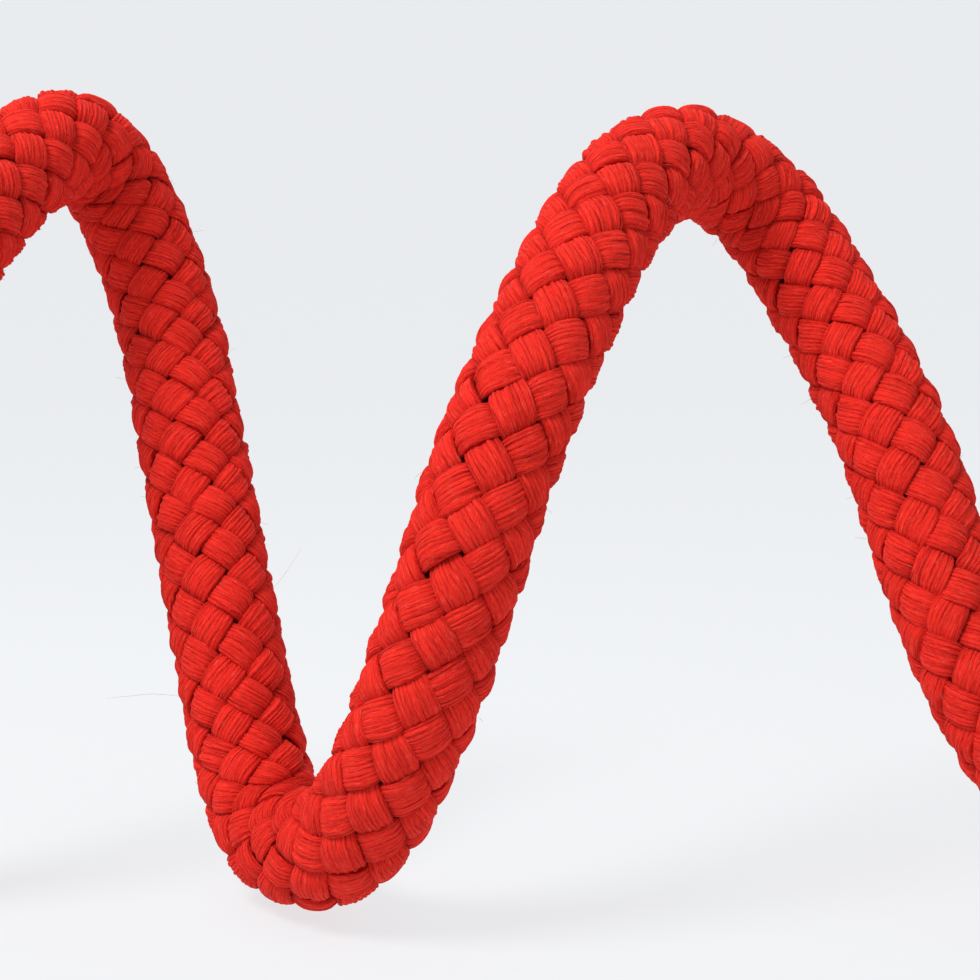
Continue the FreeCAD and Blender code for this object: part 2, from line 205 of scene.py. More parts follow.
def spline_points(name, points):
    """The points along a NURBS spline with these control points."""
    curve = bpy.data.curves.new(name, "CURVE")
    curve.dimensions = "3D"
    spline = curve.splines.new("NURBS")
    spline.points.add(len(points) - 1)
    for point, place_m in zip(spline.points, points):
        point.co = (*place_m, 1)
    spline.order_u = 3
    spline.use_endpoint_u = True
    spline.resolution_u = 24
    guide = bpy.data.objects.new(name, curve)
    mesh = bpy.data.meshes.new_from_object(guide)
    found = np.array([v.co for v in mesh.vertices], float)
    bpy.data.meshes.remove(mesh)
    bpy.data.objects.remove(guide)
    bpy.data.curves.remove(curve)
    return found


class Line:
    """A centreline with a frame that goes along it without twisting."""

    def __init__(self, points, step=1.0 * MM):
        runs = np.linalg.norm(np.diff(points, axis=0), axis=1)
        reach = np.concatenate([[0], np.cumsum(runs)])
        self.length = reach[-1]
        self.s = np.linspace(0, self.length, int(self.length / step) + 2)
        self.centre = np.stack([np.interp(self.s, reach, points[:, k]) for k in range(3)], 1)
        ahead = np.gradient(self.centre, self.s, axis=0)
        self.ahead = ahead / np.linalg.norm(ahead, axis=1)[:, None]
        side = np.cross(self.ahead[0], (0, 0, 1.0))
        sides = [side / np.linalg.norm(side)]
        for k in range(len(self.s) - 1):      # each side is the last one, reflected twice
            jump = self.centre[k + 1] - self.centre[k]
            c = jump @ jump
            side_mirrored = sides[-1] - 2 / c * (jump @ sides[-1]) * jump
            ahead_mirrored = self.ahead[k] - 2 / c * (jump @ self.ahead[k]) * jump
            turn = self.ahead[k + 1] - ahead_mirrored
            c = turn @ turn
            side = side_mirrored - (2 / c * (turn @ side_mirrored) * turn if c > 1e-18 else 0)
            side -= (side @ self.ahead[k + 1]) * self.ahead[k + 1]
            sides.append(side / np.linalg.norm(side))
        self.side = np.array(sides)
        self.up = np.cross(self.ahead, self.side)

    def at(self, s, values):
        """What these values, one row for each point of the line, are at these distances along it."""
        return np.stack([np.interp(s, self.s, values[:, k]) for k in range(3)], -1)

    def surface(self, s, angle, radius):
        """Points at these distances along the line, angles round it and radii from it."""
        side, up = self.at(s, self.side), self.at(s, self.up)
        out = np.cos(angle)[..., None] * side + np.sin(angle)[..., None] * up
        return self.at(s, self.centre) + radius[..., None] * out


def waver(values, seed, count=6, slowest=1.0, fastest=4.0):
    """A smooth wandering number from about -1 to 1, the same for the same seed."""
    draw = np.random.default_rng(seed)
    speeds = np.geomspace(slowest, fastest, count)
    total = sum(np.sin(speed * values * (1 + 0.1 * draw.random()) + draw.random() * 2 * math.pi)
                for speed in speeds)
    return total / math.sqrt(count)


# ---------------------------------------------------------------- meshes

def new_piece(name, mesh, body, material):
    """A piece of the scene that goes with one of the frame's bodies."""
    piece = bpy.data.objects.new(name, mesh)
    bpy.context.scene.collection.objects.link(piece)
    mesh.materials.append(material)
    mesh.shade_smooth()
    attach(piece, body)
    return piece


def grid_mesh(name, grids, lays, fields=None):
    """One mesh of closed tubes. A grid holds rows along the tube of points round it; its ends are closed.

    lays gives each tube's width and length in metres, for its weave; fields gives values for each point.
    The second UV map lays each tube out in strips beside each other, so that its faces stay near square.
    """
    points, corners, totals, lay_uv, bake_uv = [], [], [], [], []
    start = 0
    for number, grid in enumerate(grids):
        rows, columns = grid.shape[:2]
        index = start + np.arange(rows * columns).reshape(rows, columns)
        after = np.roll(index, -1, axis=1)
        quads = np.stack([index[:-1], after[:-1], after[1:], index[1:]], -1).reshape(-1, 4)
        corners += [quads.ravel(), index[0][::-1], index[-1]]
        totals += [np.full(len(quads), 4), [columns, columns]]
        points.append(grid.reshape(-1, 3))
        start += rows * columns
        width, length = lays[number]
        row, column = np.meshgrid(np.arange(rows - 1), np.arange(columns), indexing="ij")
        along = np.stack([row, row, row + 1, row + 1], -1).reshape(-1, 4)
        across = np.stack([column, column + 1, column + 1, column], -1).reshape(-1, 4)
        lay_uv += [np.stack([across * width / columns, along * length / (rows - 1)], -1).reshape(-1, 2),
                   np.zeros((2 * columns, 2))]
        strips = max(1, round(math.sqrt(length / max(width, 1e-6) * len(grids))))
        strips = math.ceil(strips / len(grids))
        per_strip = math.ceil((rows - 1) / strips)
        strip = np.stack([row // per_strip] * 4, -1).reshape(-1, 4)
        u = (along - strip * per_strip) / per_strip
        v = (number * strips + strip + 0.04 + 0.92 * across / columns) / (strips * len(grids))
        bake_uv += [np.stack([u, v], -1).reshape(-1, 2), np.zeros((2 * columns, 2))]
    points = np.concatenate(points).astype(np.float32)
    corners = np.concatenate(corners).astype(np.int32)
    totals = np.concatenate(totals).astype(np.int32)
    mesh = bpy.data.meshes.new(name)
    mesh.vertices.add(len(points))
    mesh.vertices.foreach_set("co", points.ravel())
    mesh.loops.add(len(corners))
    mesh.loops.foreach_set("vertex_index", corners)
    mesh.polygons.add(len(totals))
    mesh.polygons.foreach_set("loop_start", np.concatenate([[0], np.cumsum(totals)[:-1]]).astype(np.int32))
    mesh.polygons.foreach_set("loop_total", totals)
    for label, values in (("Lay", lay_uv), ("OFBake", bake_uv)):
        layer = mesh.uv_layers.new(name=label)
        layer.data.foreach_set("uv", np.concatenate(values).astype(np.float32).ravel())
    for label, values in (fields or {}).items():
        attribute = mesh.attributes.new(label, "FLOAT", "POINT")
        attribute.data.foreach_set("value", values.astype(np.float32).ravel())
    mesh.update(calc_edges=True)
    mesh.validate()
    return mesh


# ---------------------------------------------------------------- materials

class Shader:
    """Short forms for building a material's nodes. Noise scales and stretches are for each metre."""

    def __init__(self, name):
        self.material = bpy.data.materials.new(name)
        self.material.use_nodes = True
        self.tree = self.material.node_tree
        self.surface = next(n for n in self.tree.nodes if n.type == "BSDF_PRINCIPLED")

    def node(self, kind, inputs=None, **settings):
        made = self.tree.nodes.new(kind)
        for key, value in settings.items():
            setattr(made, key, value)
        for key, value in (inputs or {}).items():
            self.put(made.inputs[key], value)
        return made

    def put(self, socket, value):
        if isinstance(value, bpy.types.NodeSocket):
            self.tree.links.new(value, socket)
        else:
            socket.default_value = value

    def math(self, operation, a, b=0.0, c=0.0):
        made = self.node("ShaderNodeMath", {0: a, 1: b}, operation=operation)
        if operation == "MULTIPLY_ADD":
            self.put(made.inputs[2], c)
        return made.outputs[0]

    def add(self, first, *others):
        for other in others:
            first = self.math("ADD", first, other)
        return first

    def mix(self, share, a, b):
        made = self.node("ShaderNodeMix", data_type="RGBA")
        self.put(made.inputs[0], share)
        self.put(made.inputs[6], a)
        self.put(made.inputs[7], b)
        return made.outputs[2]

    def spread(self, value, low, high, to_low=0.0, to_high=1.0):
        made = self.node("ShaderNodeMapRange", {0: value, 1: low, 2: high, 3: to_low, 4: to_high})
        return made.outputs[0]

    def noise(self, place_m, scale, detail=3.0, roughness=0.55):
        return self.node("ShaderNodeTexNoise", {"Vector": place_m, "Scale": scale, "Detail": detail,
                                                "Roughness": roughness}).outputs["Fac"]

    def stretched(self, place_m, scale):
        return self.node("ShaderNodeMapping", {"Vector": place_m, "Scale": scale}).outputs[0]

    def uv(self, name):
        return self.node("ShaderNodeUVMap", uv_map=name).outputs[0]

    def field(self, name):
        return self.node("ShaderNodeAttribute", attribute_name=name).outputs["Fac"]

    def object_place(self):
        return self.node("ShaderNodeTexCoord").outputs["Object"]

    def bump(self, height, strength, distance):
        made = self.node("ShaderNodeBump", {"Height": height, "Strength": strength, "Distance": distance})
        return made.outputs[0]

    def finish(self, **inputs):
        for key, value in inputs.items():
            self.put(self.surface.inputs[key.replace("_", " ")], value)
        return self.material


def rope_material():
    """Spun yarn, dyed bright red: each yarn's round, its twist and short fibres, with painted highlight
    streaks on the fibres and painted shade in the crevices and grooves.
    """
    shader = Shader("braided_yarn")
    lay = shader.uv("Lay")
    parts = shader.node("ShaderNodeSeparateXYZ", {0: lay})
    across, along = parts.outputs[0], parts.outputs[1]
    wander = shader.math("SUBTRACT", shader.noise(shader.stretched(lay, (420, 110, 1)), 1.0, 3.0), 0.5)
    yarn_place = shader.math("MULTIPLY_ADD", wander, 1.7 * MM, across)
    yarn_turn = math.pi * YARNS / STRAND_WIDTH
    yarn = shader.math("ABSOLUTE", shader.math("SINE", shader.math("MULTIPLY", yarn_place, yarn_turn)))
    twist_place = shader.math("MULTIPLY_ADD", across, 1.3, along)
    twist = shader.math("SINE", shader.math("MULTIPLY", twist_place, 2 * math.pi / (0.70 * MM)))
    fibre = shader.noise(shader.stretched(lay, (7000, 700, 1)), 1.0, 3.0, 0.65)
    coarse = shader.noise(shader.stretched(lay, (2600, 90, 1)), 1.0, 2.0, 0.6)
    gap = shader.noise(shader.stretched(lay, (1700, 70, 1)), 1.0, 1.0)
    glint_streaks = shader.noise(shader.stretched(lay, (7600, 420, 1)), 1.0, 2.0)
    blotch = shader.noise(shader.object_place(), 60.0, 3.0)
    shade_height = shader.field("Height")
    twist_relief = shader.math("MULTIPLY", twist, 0.10)
    relief = shader.math("MULTIPLY_ADD", shader.math("POWER", yarn, 0.5), 0.7, twist_relief)
    relief = shader.math("MULTIPLY_ADD", fibre, 1.9, relief)
    relief = shader.math("MULTIPLY_ADD", coarse, 1.6, relief)
    relief = shader.add(relief, shader.spread(gap, 0.34, 0.42, -1.1, 0.0))
    # Painted shade in the tone: darker where the Height share is low, down in the crevices where a strand
    # dips under its neighbours, in the grooves between yarns and along the gap splits; fibre, coarse and
    # blotch are random tone
    tone = shader.add(
        shader.spread(yarn, 0.0, 0.55, -0.30, 0.06),
        shader.spread(fibre, 0.3, 0.7, -0.24, 0.24),
        shader.spread(coarse, 0.3, 0.7, -0.20, 0.20),
        shader.spread(gap, 0.34, 0.44, -0.18, 0.0),
        shader.spread(blotch, 0.3, 0.7, -0.07, 0.07),
        shader.spread(shade_height, 0.0, 0.8, 0.26, 0.80))
    colour = shader.mix(shader.spread(tone, 0.0, 1.0), YARN_DARK, YARN_BRIGHT)
    # Painted highlight: pale streaks mixed in where the glint noise is high, as light glinting off fibres
    colour = shader.mix(shader.spread(glint_streaks, 0.59, 0.72, 0.0, 0.50), colour, YARN_GLINT)
    return shader.finish(
        Base_Color=colour, Roughness=0.74, Specular_IOR_Level=0.06, Sheen_Weight=0.05, Sheen_Roughness=0.5,
        Sheen_Tint=YARN_SHEEN, Normal=shader.bump(relief, 0.85, 0.20 * MM))


def core_material():
    """The inside of the rope, which shows between the strands, coloured dark red as painted shade in those
    holes.
    """
    shader = Shader("rope_core")
    grain = shader.noise(shader.object_place(), 900.0)
    return shader.finish(Base_Color=shader.mix(grain, CORE_SHADE_DARK, CORE_SHADE_BRIGHT), Roughness=0.95,
                         Specular_IOR_Level=0.05)


def metal_material(name, colour, roughness, scratch, relief):
    """Plated metal with a fine cast or drawn grain, small scuffs and duller patches."""
    shader = Shader(name)
    where = shader.object_place()
    patches = shader.noise(where, 160.0, 4.0)
    grain = shader.noise(where, 2600.0, 2.0)
    lines = shader.noise(shader.stretched(where, (120, 2600, 2600)), 1.0, 2.0)
    scuffs = shader.spread(lines, 0.62, 0.70)
    dull = tuple(0.78 * c for c in colour[:3]) + (1,)
    tone = shader.math("MULTIPLY_ADD", scuffs, scratch, shader.spread(patches, 0.35, 0.75, 0, 0.5))
    patch_roughness = shader.spread(patches, 0.3, 0.7, 0.75 * roughness, 1.35 * roughness)
    rough = shader.math("MULTIPLY_ADD", scuffs, 0.5 * scratch, patch_roughness)
    height = shader.math("MULTIPLY_ADD", lines, 0.4, grain)
    return shader.finish(Base_Color=shader.mix(tone, colour, dull), Metallic=1.0, Roughness=rough,
                         Normal=shader.bump(height, relief, 0.03 * MM))


def strap_material():
    """Black hook-and-loop strap: a close weave under fuzz."""
    shader = Shader("woven_strap")
    lay = shader.uv("Lay")
    parts = shader.node("ShaderNodeSeparateXYZ", {0: lay})
    rib = shader.math("SINE", shader.math("MULTIPLY", parts.outputs[1], 2 * math.pi / (0.8 * MM)))
    warp = shader.math("SINE", shader.math("MULTIPLY", parts.outputs[0], 2 * math.pi / (0.6 * MM)))
    fuzz = shader.noise(shader.object_place(), 2400.0, 3.0)
    weave = shader.math("MULTIPLY", rib, warp)
    relief = shader.math("MULTIPLY_ADD", fuzz, 1.4, shader.math("MULTIPLY", weave, 0.5))
    tone = shader.math("MULTIPLY_ADD", weave, 0.2, shader.spread(fuzz, 0.3, 0.7, 0.1, 0.8))
    return shader.finish(Base_Color=shader.mix(tone, STRAP_DARK, STRAP_BRIGHT), Roughness=0.85,
                         Specular_IOR_Level=0.25, Sheen_Weight=0.3, Sheen_Roughness=0.4,
                         Normal=shader.bump(relief, 0.7, 0.12 * MM))


def thread_material():
    """Black waxed thread with its ply lines."""
    shader = Shader("waxed_thread")
    lay = shader.uv("Lay")
    parts = shader.node("ShaderNodeSeparateXYZ", {0: lay})
    ply_place = shader.math("MULTIPLY_ADD", parts.outputs[0], 1.5, parts.outputs[1])
    ply = shader.math("SINE", shader.math("MULTIPLY", ply_place, 2 * math.pi / (0.9 * MM)))
    wax = shader.noise(shader.object_place(), 1500.0, 3.0)
    tone = shader.math("MULTIPLY_ADD", ply, 0.25, wax)
    return shader.finish(Base_Color=shader.mix(tone, THREAD_DARK, THREAD_BRIGHT),
                         Roughness=shader.spread(wax, 0.3, 0.7, 0.38, 0.62),
                         Normal=shader.bump(tone, 0.8, 0.10 * MM))


# ---------------------------------------------------------------- braid

def over_under(crossings):
    """+1 over at an even crossing and -1 under at an odd one, with quick changes between."""
    return np.tanh(1.5 * np.cos(math.pi * crossings)) / math.tanh(1.5)


def strand_section():
    """A strand's closed outline: places across it from -1 to 1, heights, yarn ridges and crown shares."""
    top = np.linspace(-1, 1, YARNS * YARN_POINTS + 1)
    crown = (1 - np.abs(top) ** 4) ** 0.55
    back = np.linspace(1, -1, BACK_POINTS + 2)[1:-1]
    hollow = -(1 - np.abs(back) ** 4) ** 0.5
    ridge = (np.abs(np.sin(0.5 * math.pi * YARNS * (top + 1))) - 0.6) * (0.4 + 0.6 * crown)
    across = np.concatenate([top, back])
    return (across, np.concatenate([crown * STRAND_TOP, hollow * STRAND_BACK]),
            np.concatenate([ridge * YARN_RELIEF, 0 * back]), np.concatenate([crown, 0 * back]))


def yarn_heights(rows_at, seed):
    """How far each yarn of a strand wanders in and out along it, for the points round the outline."""
    columns = np.zeros((len(rows_at), YARNS * YARN_POINTS + 1 + BACK_POINTS))
    for yarn in range(YARNS):
        rise = 1.1 * YARN_RELIEF * waver(rows_at, seed + 31 * yarn, 4, 0.7, 3.0)
        first = yarn * YARN_POINTS + 1
        columns[:, first:first + YARN_POINTS - 1] = rise[:, None]
    return columns


def braid_grid(line, way, number, rows_at, squeeze, phase, seed):
    """One strand's surface along a line: rows along it of points round it, and its height field.

    way is +1 for the strands that turn one way and -1 for the others. rows_at holds the crossings, counted
    along the line, at which there is a row. squeeze(s) gives the rope's local thickness as a share.
    """
    across, lift, ridge, crown = strand_section()
    pitch = LEAD / (2 * STRANDS_EACH_WAY)
    m = rows_at[:, None]
    drift = 0.060 * waver(rows_at, seed, 5, 0.35, 1.9)[:, None]
    swell = 1 + 0.035 * waver(rows_at, seed + 1000, 5, 0.5, 2.6)[:, None]
    wave = way * over_under(m)
    shuffle = 2.5 * waver(rows_at, seed + 4000, 4, 0.6, 2.2)[:, None]
    u = 0.5 * STRAND_FILL * swell * (1 + 0.05 * wave) * across[None, :] + drift
    u = u + 0.012 * np.sin(9 * across[None, :] + shuffle)
    s = np.clip(pitch * (m - u), 0, line.length)
    angle = phase + way * math.pi / STRANDS_EACH_WAY * (2 * number + m + u)
    plump = 1 + 0.12 * waver(rows_at, seed + 2000, 6, 0.8, 3.1)[:, None]
    height = STRAND_MIDDLE + STRAND_WAVE * wave + lift * plump * (1 + 0.12 * wave) + ridge
    height += yarn_heights(rows_at, seed + 3000)
    height *= squeeze(s)
    # The crown's height share, low where a strand dips under; the yarn's colour reads it as a painted-shade
    # mask
    field = np.clip(crown[None, :] * (0.55 + 0.45 * wave), 0, 1)
    return line.surface(s, angle, height), field


def rest_on_floor(grid):
    """Flattens what would dip under the ground."""
    grid[..., 2] = np.where(grid[..., 2] < 0, 0.02 * grid[..., 2], grid[..., 2])
    return grid


def crossing_rows(line, fine_until, fine, coarse):
    """The crossings at which a strand gets rows, closer together up to a distance along the line."""
    pitch = LEAD / (2 * STRANDS_EACH_WAY)
    end = line.length / pitch + 0.5
    change = min(fine_until / pitch, end)
    first = np.arange(-0.5, change, 1 / fine)
    return np.concatenate([first, np.arange(first[-1] + 1 / coarse, end + 1 / coarse, 1 / coarse)])


def braid_meshes(line, name, rows_at, squeeze, phase, joined):
    """The meshes of a braid's strands, each its own or all in one."""
    strand_length = line.length * math.hypot(1, math.pi * STRAND_TURN_D / LEAD)
    lay = (STRAND_WIDTH * (1 + BACK_POINTS / YARNS / YARN_POINTS), strand_length)
    grids, fields = [], []
    for index in range(2 * STRANDS_EACH_WAY):
        way, number = (1, index) if index < STRANDS_EACH_WAY else (-1, index - STRANDS_EACH_WAY)
        grid, field = braid_grid(line, way, number, rows_at, squeeze, phase, 17 * index + 5)
        grids.append(rest_on_floor(grid))
        fields.append(field)
    if joined:
        heights = np.concatenate([field.ravel() for field in fields])
        return [grid_mesh(name, grids, [lay] * len(grids), {"Height": heights})]
    return [grid_mesh(f"{name}_{k + 1:02d}", [grid], [lay], {"Height": field})
            for k, (grid, field) in enumerate(zip(grids, fields))]


def core_mesh(name, line, squeeze):
    """The rope's round inside, under the strands."""
    s = np.linspace(0, line.length, int(line.length / (3 * MM)) + 2)[:, None]
    angle = np.linspace(0, 2 * math.pi, 16, endpoint=False)[None, :]
    s, angle = np.broadcast_arrays(s, angle)
    grid = rest_on_floor(line.surface(s, angle, CORE_R * squeeze(s)))
    return grid_mesh(name, [grid], [(2 * math.pi * CORE_R, line.length)])


# ---------------------------------------------------------------- the free rope

def hank_points():
    """The hank's turns: round its stadium, the second turn on top of the first, and into the cap."""
    run = HANK_FAR - HANK_NEAR
    bend = math.pi * HANK_BEND_R
    turn = 2 * (run + bend)
    last = turn + run + bend + (HANK_FAR - FREE_END_X) + 0.9 * CAP_LENGTH
    middle_y = HANK_FRONT_Y + HANK_BEND_R
    points = []
    count = round(last / turn * HANK_POINTS)
    for k in range(1, count + 1):
        s = last * k / count
        at = s % turn
        loose = 1 + HANK_UNEVEN * math.sin(2.3 * k) + HANK_SLACK
        if at < run:
            x, y = HANK_NEAR + at, HANK_FRONT_Y
        elif at < run + bend:
            a = (at - run) / HANK_BEND_R
            x, y = HANK_FAR + loose * HANK_BEND_R * math.sin(a), middle_y - loose * HANK_BEND_R * math.cos(a)
        elif at < 2 * run + bend:
            x, y = HANK_FAR - (at - run - bend), HANK_BACK_Y
        else:
            a = (at - 2 * run - bend) / HANK_BEND_R
            x, y = HANK_NEAR - loose * HANK_BEND_R * math.sin(a), middle_y + loose * HANK_BEND_R * math.cos(a)
        rise = float(smooth_step((s - (2 * run + bend)) / HANK_RISE))
        into_cap = float(smooth_step((s - (last - CAP_LENGTH)) / CAP_LENGTH))
        z = 0.5 * ROPE_D + ROPE_D * rise + (CAP_AXIS_Z - 1.5 * ROPE_D) * into_cap
        points.append(place(x, y, z))
    return points


def route_points():
    """The free rope's whole route, from the seam in the last band to the cap."""
    points = [place(SEAM, LEG_Y, EYE_HEIGHT)]
    points += [place(x * MM, y * MM, z * MM) for x, y, z in ROUTE]
    points.append(place(HANK_NEAR, HANK_FRONT_Y, 0.5 * ROPE_D))
    return points + hank_points()


def tie_centres():
    """The middles of the two ties, between the hank's layers."""
    run = HANK_FAR - HANK_NEAR
    return [np.array(place(HANK_NEAR + share * run, y, ROPE_D))
            for share, y in zip(TIE_SHARES, (HANK_FRONT_Y, HANK_BACK_Y))]


def free_rope_squeeze(line):
    """The rope's thickness as a share, less where a tie holds it and in the cap."""
    share = np.ones(len(line.s))
    share += 0.008 * waver(line.s / ROPE_D, 77, 5, 0.35, 1.5)
    for centre in tie_centres():
        reach = np.abs(line.centre - centre)
        held = (reach[:, 1] < ROPE_D) * smooth_step((TIE_WIDTH - reach[:, 0]) / (0.5 * TIE_WIDTH))
        share *= 1 - TIE_SQUEEZE * held
    share *= 1 - CAP_SQUEEZE * smooth_step((line.s - line.length + CAP_LENGTH) / (2 * MM))
    return lambda s: np.interp(s, line.s, share)


def make_free_rope(yarn, core):
    """The rope from the crimp bands to the cap: its line, its strands and its core."""
    line = Line(spline_points("rope_route", route_points()))
    squeeze = free_rope_squeeze(line)
    rows_at = crossing_rows(line, SEEN_LENGTH, ROWS_SEEN, ROWS_UNSEEN)
    meshes = braid_meshes(line, "rope_strand", rows_at, squeeze, ROPE_PHASE, False)
    strands = [new_piece(mesh.name, mesh, "rope", yarn) for mesh in meshes]
    inside = new_piece("rope_core", core_mesh("rope_core", line, squeeze), "rope", core)
    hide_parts("rope_wave", "rope_hank")
    print("free rope", round(line.length, 4), "m")
    return line, strands, inside


# ---------------------------------------------------------------- the fold

def fold_points():
    """The folded end's line: along one leg, round the eye's bar and back along the other."""
    leg = [(SEAM, LEG_Y), (0.5 * (SEAM + BANDS_START), LEG_Y), (BANDS_START, LEG_Y),
           (0.62 * BANDS_START, LEG_Y + 0.9 * MM)]
    outside = 1.045 * FOLD_R
    arc = [(outside * math.cos(math.radians(a)), outside * math.sin(math.radians(a))) for a in (62, 97, 136)]
    half = leg + arc
    back = [(x, -y) for x, y in reversed(half[1:])]
    ends = [(0.5 * (SEAM + CUT_END), -LEG_Y), (CUT_END, -LEG_Y)]
    return [place(x, y, EYE_HEIGHT) for x, y in [*half, (-outside, 0), *back, *ends]]


def make_fold(yarn, core):
    """The folded end of the rope, thinner where the thread binds it."""
    line = Line(spline_points("fold_route", fold_points()))

    def squeeze(s):
        x = line.at(s, line.centre)[..., 0] - PIVOT[0]
        y = line.at(s, line.centre)[..., 1] - PIVOT[1]
        bound = (y < 0) * smooth_step((6.5 * MM - np.abs(x - WHIPPING_MIDDLE)) / (2.5 * MM))
        return 0.995 - 0.075 * bound

    rows_at = crossing_rows(line, line.length, ROWS_FOLD, ROWS_FOLD)
    mesh = braid_meshes(line, "rope_fold", rows_at, squeeze, FOLD_PHASE, True)[0]
    fold = new_piece("rope_fold", mesh, "rope", yarn)
    inside = new_piece("rope_fold_core", core_mesh("rope_fold_core", line, squeeze), "rope", core)
    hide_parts("rope_eye")


# ---------------------------------------------------------------- on the rope

def thin_tube(points, radius, sides):
    """A grid round a line of points, thinner towards its ends."""
    line = Line(np.array(points), np.linalg.norm(np.diff(points, axis=0), axis=1).mean())
    s, angle = np.meshgrid(line.s, np.linspace(0, 2 * math.pi, sides, endpoint=False), indexing="ij")
    thin = np.sqrt(np.clip(1 - np.abs(2 * s / line.length - 1) ** 3, 0.05, 1))
    return line.surface(s, angle, radius * thin), (2 * math.pi * radius, line.length)


def make_stray_fibres(line, material):
    """Short ends of fibre that stand off the yarn, and a few long ones."""
    draw = np.random.default_rng(11)
    grids, lays = [], []
    for number in range(FIBRE_COUNT):
        long_one = number % 40 == 7
        length = draw.uniform(9, 16) * MM if long_one else draw.uniform(0.8, 3.2) * MM
        s, angle = draw.uniform(20 * MM, line.length - 30 * MM), draw.uniform(0, 2 * math.pi)
        root = line.surface(np.array(s), np.array(angle), np.array(FIBRE_ROOT))
        out = line.surface(np.array(s), np.array(angle), np.array(ROPE_D)) - root
        way = 0.5 * out / np.linalg.norm(out) + 0.6 * draw.normal(size=3)
        way /= np.linalg.norm(way)
        bend = draw.normal(size=3) * (0.28 if long_one else 0.20)
        points, steps = [root], 12 if long_one else 6
        for _ in range(steps):
            way = way + bend / steps * 4 + 0.05 * draw.normal(size=3)
            way /= np.linalg.norm(way)
            points.append(points[-1] + way * length / steps)
        points = np.array(points)
        if points[:, 2].min() < 0.3 * MM:
            continue
        grid, lay = thin_tube(points, FIBRE_R, 3)
        grids.append(grid)
        lays.append(lay)
    piece = new_piece("stray_fibres", grid_mesh("stray_fibres", grids, lays), "rope", material)
    return piece


def fibre_material():
    """Loose red fibre, paler than the yarn."""
    shader = Shader("stray_fibre")
    tint = shader.noise(shader.object_place(), 300.0)
    return shader.finish(Base_Color=shader.mix(tint, FIBRE_DARK, FIBRE_BRIGHT), Roughness=0.6,
                         Specular_IOR_Level=0.3)


def belt_path(half_width, half_height, turns):
    """Places and outward ways along an upright stadium, in Y and Z about its middle.

    The path starts at the middle of the +Y side and goes up. Its second half is its first, turned half round.
    """
    side = 2 * (half_height - half_width)
    half_loop = side + math.pi * half_width
    s = np.arange(0, 2 * turns * half_loop, 0.7 * MM)
    places, ways = [], []
    for at in s + 0.5 * side:
        half_loops, on = divmod(at, half_loop)
        turn = max(0, on - side) / half_width
        way = np.array((math.cos(turn), math.sin(turn)))
        spot = half_width * way + (0, min(on, side) - 0.5 * side)
        sign = 1 if half_loops % 2 == 0 else -1
        places.append(sign * spot)
        ways.append(sign * way)
    return s, 2 * half_loop, np.array(places), np.array(ways)


def make_ties(material):
    """Each strap goes round the two ropes and closes on its outer side, where its end turns up a little."""
    ties = []
    for number, centre in enumerate(tie_centres()):
        outward = -1 if number == 0 else 1
        s, loop, places, ways = belt_path(0.5 * (ROPE_D - STRAP_T), ROPE_D - 0.5 * STRAP_T, STRAP_TURNS)
        to_end = s[-1] - s
        over = STRAP_T * 1.05 * smooth_step((s - loop + STRAP_END) / STRAP_END)
        over = over + 0.8 * MM * smooth_step(1 - to_end / STRAP_END) ** 2
        narrow = 1 - 0.35 * smooth_step(1 - to_end / (3 * MM)) ** 3
        a = np.linspace(0, 2 * math.pi, 28, endpoint=False)
        flat = np.sign(np.cos(a)) * np.abs(np.cos(a)) ** 0.35
        thick = np.sign(np.sin(a)) * np.abs(np.sin(a)) ** 0.55
        x = centre[0] + 0.5 * TIE_WIDTH * flat[None, :] * narrow[:, None]
        out = over[:, None] + 0.5 * STRAP_T * thick[None, :]
        y = centre[1] + outward * (places[:, :1] + ways[:, :1] * out)
        z = centre[2] + places[:, 1:] + ways[:, 1:] * out
        grid = np.stack(np.broadcast_arrays(x, y, z), -1)
        if outward > 0:
            grid = grid[:, ::-1]
        mesh = grid_mesh(f"hank_tie_{number + 1}", [grid], [(2 * TIE_WIDTH, s[-1])])
        tie = new_piece(mesh.name, mesh, "rope", material)
        ties.append(tie)
    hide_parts("hank_ties")
    return ties


def turned(name, centre, profile, material, sides=96):
    """A part turned about an axis along X: profile is (distance along X, radius) from its closed end."""
    profile = np.array(profile)
    angle = np.linspace(0, 2 * math.pi, sides, endpoint=False)
    x = centre[0] + np.broadcast_to(profile[:, :1], (len(profile), sides))
    y = centre[1] + profile[:, 1:] * np.cos(angle)
    z = centre[2] + profile[:, 1:] * np.sin(angle)
    grid = np.stack([x, y, z], -1)
    piece = new_piece(name, grid_mesh(name, [grid], [(60 * MM, 60 * MM)]), "rope", material)
    return piece


def make_end_cap(material):
    """A drawn cap with a rounded nose, two rolled crimps and a rolled lip."""
    radius = 0.5 * ROPE_D + CAP_WALL
    bore = 0.5 * ROPE_D - 0.05 * MM
    profile = [(0, 0.05 * MM), (0, 3.0 * MM), (0, radius - CAP_NOSE - 0.5 * MM)]
    profile += [(CAP_NOSE * (1 - math.cos(a)), radius - CAP_NOSE * (1 - math.sin(a)))
                for a in np.linspace(0, math.pi / 2, 10)]
    for x in np.arange(4.0, 21.5, 0.25):
        dent = sum(0.75 * MM * math.exp(-((x - crimp) / 0.9) ** 2) for crimp in CAP_CRIMPS)
        profile.append((x * MM, radius - dent))
    lip_x = CAP_LENGTH - CAP_LIP - 1.0 * MM
    profile += [(lip_x + CAP_LIP * math.sin(a), radius - CAP_LIP * (0.5 - 0.9 * math.cos(a)))
                for a in np.linspace(-0.9, math.pi - 0.2, 14)]
    profile += [(CAP_LENGTH - 2.6 * MM, bore), (3 * MM, bore)]
    cap = turned("rope_end_cap", place(FREE_END_X - CAP_LENGTH, HANK_BACK_Y, CAP_AXIS_Z), profile, material)
    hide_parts("end_cap")
    return cap


